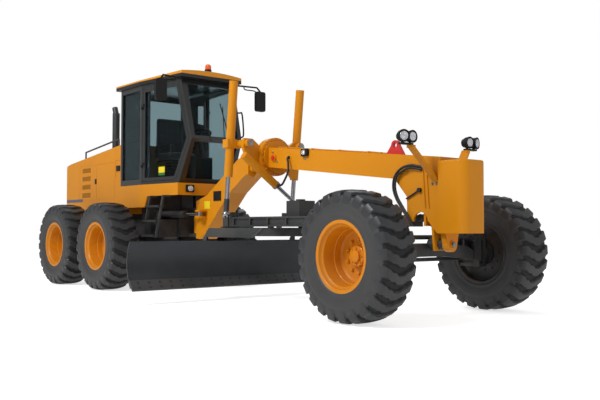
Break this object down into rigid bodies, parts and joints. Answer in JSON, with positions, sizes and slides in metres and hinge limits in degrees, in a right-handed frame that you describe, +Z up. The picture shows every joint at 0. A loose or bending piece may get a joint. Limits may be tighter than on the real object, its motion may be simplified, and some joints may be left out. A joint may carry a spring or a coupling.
{
  "type": "motor grader",
  "caption": "Articulated motor grader with a long arched front beam, a blade under it, a glazed cab and tandem rear wheels.",
  "frame": {"origin": "on the ground under the middle of the machine's length and width", "axes": "+X forward towards the front block, +Y to the driver's left, +Z up"},
  "size_m": [8.98, 3.96, 3.4003],
  "materials": {
    "body_paint": "satin",
    "roof_paint": "satin",
    "rim_paint": "satin",
    "dark_paint": "satin",
    "blade_steel": "worn",
    "rod_chrome": "polished",
    "tyre_rubber": "matte",
    "cab_glazing": "tinted",
    "red_paint": "satin",
    "beacon_lens": "gloss",
    "black_plastic": "matte",
    "seat_cloth": "matte"
  },
  "bodies": {
    "chassis": {"rear_frame": "dark_paint", "tandem_axle": "dark_paint", "engine_hood": "body_paint", "engine": "dark_paint", "exhaust": "dark_paint", "ladders_and_rails": "dark_paint", "cab_deck": "body_paint", "cab_frame": "dark_paint", "cab_glass": "cab_glazing", "cab_roof": "roof_paint", "beacon": "beacon_lens", "seat": "seat_cloth", "steering_console": "black_plastic", "mirrors": "black_plastic"},
    "front": {"front_frame": "body_paint", "front_block": "body_paint", "saddle": "body_paint", "headlamps": "body_paint", "lifting_lug": "red_paint", "front_axle": "body_paint"},
    "door_right": {"door_right": "dark_paint", "door_glass_right": "cab_glazing"},
    "door_left": {"door_left": "dark_paint", "door_glass_left": "cab_glazing"},
    "wheel_middle_right": {"tyre_middle_right": "tyre_rubber", "rim_middle_right": "rim_paint"},
    "wheel_middle_left": {"tyre_middle_left": "tyre_rubber", "rim_middle_left": "rim_paint"},
    "wheel_rear_right": {"tyre_rear_right": "tyre_rubber", "rim_rear_right": "rim_paint"},
    "wheel_rear_left": {"tyre_rear_left": "tyre_rubber", "rim_rear_left": "rim_paint"},
    "lean_right": {"lean_bracket_right": "dark_paint"},
    "knuckle_right": {"knuckle_right": "dark_paint"},
    "wheel_front_right": {"tyre_front_right": "tyre_rubber", "rim_front_right": "rim_paint"},
    "lean_left": {"lean_bracket_left": "dark_paint"},
    "knuckle_left": {"knuckle_left": "dark_paint"},
    "wheel_front_left": {"tyre_front_left": "tyre_rubber", "rim_front_left": "rim_paint"},
    "lean_bar": {"lean_bar": "dark_paint"},
    "tie_rod_stud": {"tie_rod_stud": "dark_paint"},
    "tie_rod": {"tie_rod": "dark_paint"},
    "drawbar_socket": {"drawbar_socket": "dark_paint"},
    "drawbar": {"drawbar": "dark_paint"},
    "circle": {"circle": "dark_paint"},
    "blade_carrier": {"blade_carrier": "dark_paint"},
    "blade": {"blade": "blade_steel", "cutting_edge": "blade_steel"},
    "lift_barrel_right": {"lift_barrel_right": "body_paint"},
    "lift_rod_right": {"lift_rod_right": "rod_chrome"},
    "lift_barrel_left": {"lift_barrel_left": "body_paint"},
    "lift_rod_left": {"lift_rod_left": "rod_chrome"},
    "shift_barrel": {"shift_barrel": "body_paint"},
    "shift_rod": {"shift_rod": "rod_chrome"},
    "turn_barrel_right": {"turn_barrel_right": "dark_paint"},
    "turn_rod_right": {"turn_rod_right": "rod_chrome"},
    "turn_barrel_left": {"turn_barrel_left": "dark_paint"},
    "turn_rod_left": {"turn_rod_left": "rod_chrome"}
  },
  "joints": [
    {"name": "articulation", "type": "hinge", "parent": "chassis", "child": "front", "pos_m": [-0.7, 0, 1.02], "axis": [0, 0, 1], "range_deg": [-26, 26]},
    {"name": "door_right", "type": "hinge", "parent": "chassis", "child": "door_right", "pos_m": [-1.428, -0.614, 2.35], "axis": [0, 0, -1], "range_deg": [0, 80]},
    {"name": "door_left", "type": "hinge", "parent": "chassis", "child": "door_left", "pos_m": [-1.428, 0.614, 2.35], "axis": [0, 0, 1], "range_deg": [0, 80]},
    {"name": "wheel_middle_right", "type": "hinge", "parent": "chassis", "child": "wheel_middle_right", "pos_m": [-1.62, -1.078, 0.66], "axis": [0, 1, 0], "continuous": true},
    {"name": "wheel_middle_left", "type": "hinge", "parent": "chassis", "child": "wheel_middle_left", "pos_m": [-1.62, 1.078, 0.66], "axis": [0, 1, 0], "continuous": true},
    {"name": "wheel_rear_right", "type": "hinge", "parent": "chassis", "child": "wheel_rear_right", "pos_m": [-3.158, -1.078, 0.66], "axis": [0, 1, 0], "continuous": true},
    {"name": "wheel_rear_left", "type": "hinge", "parent": "chassis", "child": "wheel_rear_left", "pos_m": [-3.158, 1.078, 0.66], "axis": [0, 1, 0], "continuous": true},
    {"name": "lean_right", "type": "hinge", "parent": "front", "child": "lean_right", "pos_m": [3.83, -0.745, 0.622], "axis": [1, 0, 0], "range_deg": [-17, 17]},
    {"name": "steer_right", "type": "hinge", "parent": "lean_right", "child": "knuckle_right", "pos_m": [3.83, -0.84, 0.66], "axis": [0, 0, 1], "range_deg": [-49, 49]},
    {"name": "wheel_front_right", "type": "hinge", "parent": "knuckle_right", "child": "wheel_front_right", "pos_m": [3.83, -1.078, 0.66], "axis": [0, 1, 0], "continuous": true},
    {"name": "lean_left", "type": "hinge", "parent": "front", "child": "lean_left", "pos_m": [3.83, 0.745, 0.622], "axis": [1, 0, 0], "range_deg": [-17, 17]},
    {"name": "steer_left", "type": "hinge", "parent": "lean_left", "child": "knuckle_left", "pos_m": [3.83, 0.84, 0.66], "axis": [0, 0, 1], "range_deg": [-49, 49]},
    {"name": "wheel_front_left", "type": "hinge", "parent": "knuckle_left", "child": "wheel_front_left", "pos_m": [3.83, 1.078, 0.66], "axis": [0, 1, 0], "continuous": true},
    {"name": "lean_bar", "type": "hinge", "parent": "lean_right", "child": "lean_bar", "pos_m": [3.83, -0.745, 0.84], "axis": [1, 0, 0], "range_deg": [-17, 17]},
    {"name": "tie_rod_turn", "type": "hinge", "parent": "knuckle_right", "child": "tie_rod_stud", "pos_m": [3.63, -0.84, 0.59], "axis": [0, 0, 1], "range_deg": [-49, 49]},
    {"name": "tie_rod_level", "type": "hinge", "parent": "tie_rod_stud", "child": "tie_rod", "pos_m": [3.63, -0.84, 0.59], "axis": [1, 0, 0], "range_deg": [-16, 16]},
    {"name": "drawbar_swing", "type": "hinge", "parent": "front", "child": "drawbar_socket", "pos_m": [3.8, 0, 1.05], "axis": [0, 0, 1], "range_deg": [-8.5, 8.5]},
    {"name": "drawbar_lift", "type": "hinge", "parent": "drawbar_socket", "child": "drawbar", "pos_m": [3.8, 0, 1.05], "axis": [0, 1, 0], "range_deg": [-13.2, 5.4]},
    {"name": "circle_turn", "type": "hinge", "parent": "drawbar", "child": "circle", "pos_m": [1.111, 0, 0.9], "axis": [0, 0, 1], "continuous": true},
    {"name": "blade_tilt", "type": "hinge", "parent": "circle", "child": "blade_carrier", "pos_m": [0.69, 0, 0.4], "axis": [0, 1, 0], "range_deg": [-18.5, 23.5]},
    {"name": "blade_shift", "type": "slide", "parent": "blade_carrier", "child": "blade", "axis": [0, -1, 0], "range_m": [-0.5, 0.5]},
    {"name": "lift_barrel_right", "type": "hinge", "parent": "front", "child": "lift_barrel_right", "pos_m": [0.95, -0.43, 2.045], "axis": [1, 0, 0], "range_deg": [-28, 28]},
    {"name": "lift_rod_right", "type": "slide", "parent": "lift_barrel_right", "child": "lift_rod_right", "axis": [0.1017, -0.0045, 0.9948], "range_m": [-0.69, 0.285]},
    {"name": "lift_barrel_left", "type": "hinge", "parent": "front", "child": "lift_barrel_left", "pos_m": [0.95, 0.43, 2.045], "axis": [1, 0, 0], "range_deg": [-28, 28]},
    {"name": "lift_rod_left", "type": "slide", "parent": "lift_barrel_left", "child": "lift_rod_left", "axis": [0.1017, 0.0045, 0.9948], "range_m": [-0.69, 0.285]},
    {"name": "shift_barrel", "type": "hinge", "parent": "front", "child": "shift_barrel", "pos_m": [1.245, -0.354, 1.713], "axis": [1, 0, 0], "range_deg": [-15, 15]},
    {"name": "shift_rod", "type": "slide", "parent": "shift_barrel", "child": "shift_rod", "axis": [0, 0.8168, -0.577], "range_m": [-0.3, 0.3]},
    {"name": "turn_barrel_right", "type": "hinge", "parent": "chassis", "child": "turn_barrel_right", "pos_m": [-1.25, -0.4, 1.14], "axis": [0, 0, 1], "range_deg": [-10, 10]},
    {"name": "turn_rod_right", "type": "slide", "parent": "turn_barrel_right", "child": "turn_rod_right", "axis": [0.9852, 0.1713, 0], "range_m": [-0.14, 0.14]},
    {"name": "turn_barrel_left", "type": "hinge", "parent": "chassis", "child": "turn_barrel_left", "pos_m": [-1.25, 0.4, 1.14], "axis": [0, 0, 1], "range_deg": [-10, 10]},
    {"name": "turn_rod_left", "type": "slide", "parent": "turn_barrel_left", "child": "turn_rod_left", "axis": [0.9852, -0.1713, 0], "range_m": [-0.14, 0.14]}
  ],
  "couplings": [
    {"joint": "lean_left", "follows": "lean_right", "ratio": 1},
    {"joint": "steer_left", "follows": "steer_right", "ratio": 1},
    {"joint": "lean_bar", "follows": "lean_right", "ratio": -1},
    {"joint": "tie_rod_turn", "follows": "steer_right", "ratio": -1},
    {"joint": "tie_rod_level", "follows": "lean_right", "ratio": -0.888},
    {"joint": "lift_barrel_right", "follows": "drawbar_swing", "ratio": -3.2},
    {"joint": "lift_rod_right", "follows": "drawbar_lift", "m_per_rad": 2.977},
    {"joint": "lift_barrel_left", "follows": "drawbar_swing", "ratio": -3.2},
    {"joint": "lift_rod_left", "follows": "drawbar_lift", "m_per_rad": 2.977},
    {"joint": "shift_barrel", "follows": "drawbar_swing", "ratio": -1.75},
    {"joint": "shift_rod", "follows": "drawbar_swing", "m_per_rad": -2},
    {"joint": "turn_barrel_right", "follows": "articulation", "ratio": 0.346},
    {"joint": "turn_rod_right", "follows": "articulation", "m_per_rad": 0.2998},
    {"joint": "turn_barrel_left", "follows": "articulation", "ratio": 0.346},
    {"joint": "turn_rod_left", "follows": "articulation", "m_per_rad": -0.2998}
  ]
}
